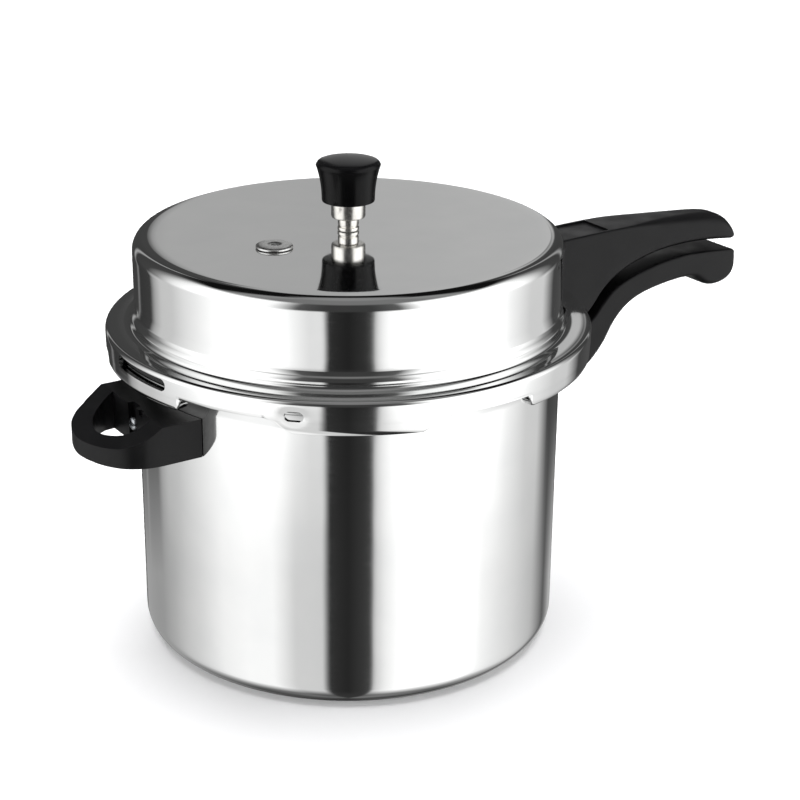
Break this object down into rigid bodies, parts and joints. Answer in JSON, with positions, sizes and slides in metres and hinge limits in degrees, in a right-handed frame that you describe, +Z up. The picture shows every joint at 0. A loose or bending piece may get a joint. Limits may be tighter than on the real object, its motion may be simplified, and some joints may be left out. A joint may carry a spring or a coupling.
{
  "type": "pressure cooker",
  "caption": "Deep outer-lid pressure cooker with a twist-lock domed lid, lift-off vent weight, safety valve, paired long handles and a looped helper handle.",
  "frame": {"origin": "on the pot's axis, in the plane of its flat base", "axes": "+Z up along the pot's axis, +X along the long handles, -X towards the helper handle"},
  "size_m": [0.4585, 0.2784, 0.2807],
  "materials": {
    "polished_aluminium": "mirror polished",
    "black_phenolic": "moulded satin black",
    "black_rubber": "moulded rubber",
    "zinc_steel": "zinc plated",
    "chromed_brass": "bright chrome plate",
    "fusible_alloy": "dull cast alloy"
  },
  "bodies": {
    "pot": {"pot_body": "polished_aluminium", "body_handle_bracket": "zinc_steel", "body_bracket_rivet_1": "polished_aluminium", "body_bracket_rivet_2": "polished_aluminium", "body_handle": "black_phenolic", "body_handle_screw": "zinc_steel", "helper_handle_bracket": "zinc_steel", "helper_bracket_rivet_1": "polished_aluminium", "helper_bracket_rivet_2": "polished_aluminium", "helper_handle": "black_phenolic", "helper_handle_screw": "zinc_steel"},
    "gasket": {"sealing_gasket": "black_rubber"},
    "lid": {"lid_shell": "polished_aluminium", "lid_handle_bracket": "zinc_steel", "lid_bracket_rivet_1": "polished_aluminium", "lid_bracket_rivet_2": "polished_aluminium", "lid_handle": "black_phenolic", "lid_handle_screw": "zinc_steel", "vent_tube": "chromed_brass", "vent_tube_washer": "zinc_steel", "vent_tube_nut": "zinc_steel", "safety_valve_body": "polished_aluminium", "safety_valve_fusible_plug": "fusible_alloy", "safety_valve_washer": "black_rubber", "safety_valve_nut": "zinc_steel"},
    "weight": {"weight_body": "chromed_brass", "weight_retaining_ring": "zinc_steel", "weight_knob": "black_phenolic"}
  },
  "joints": [
    {"name": "lid_lift", "type": "slide", "parent": "pot", "child": "gasket", "axis": [0, 0, 1], "range_m": [0, 0.08]},
    {"name": "lid_turn", "type": "hinge", "parent": "gasket", "child": "lid", "pos_m": [0, 0, 0.189], "axis": [0, 0, 1], "range_deg": [0, 38]},
    {"name": "weight_lift", "type": "slide", "parent": "lid", "child": "weight", "axis": [0, 0, 1], "range_m": [0, 0.03]}
  ]
}
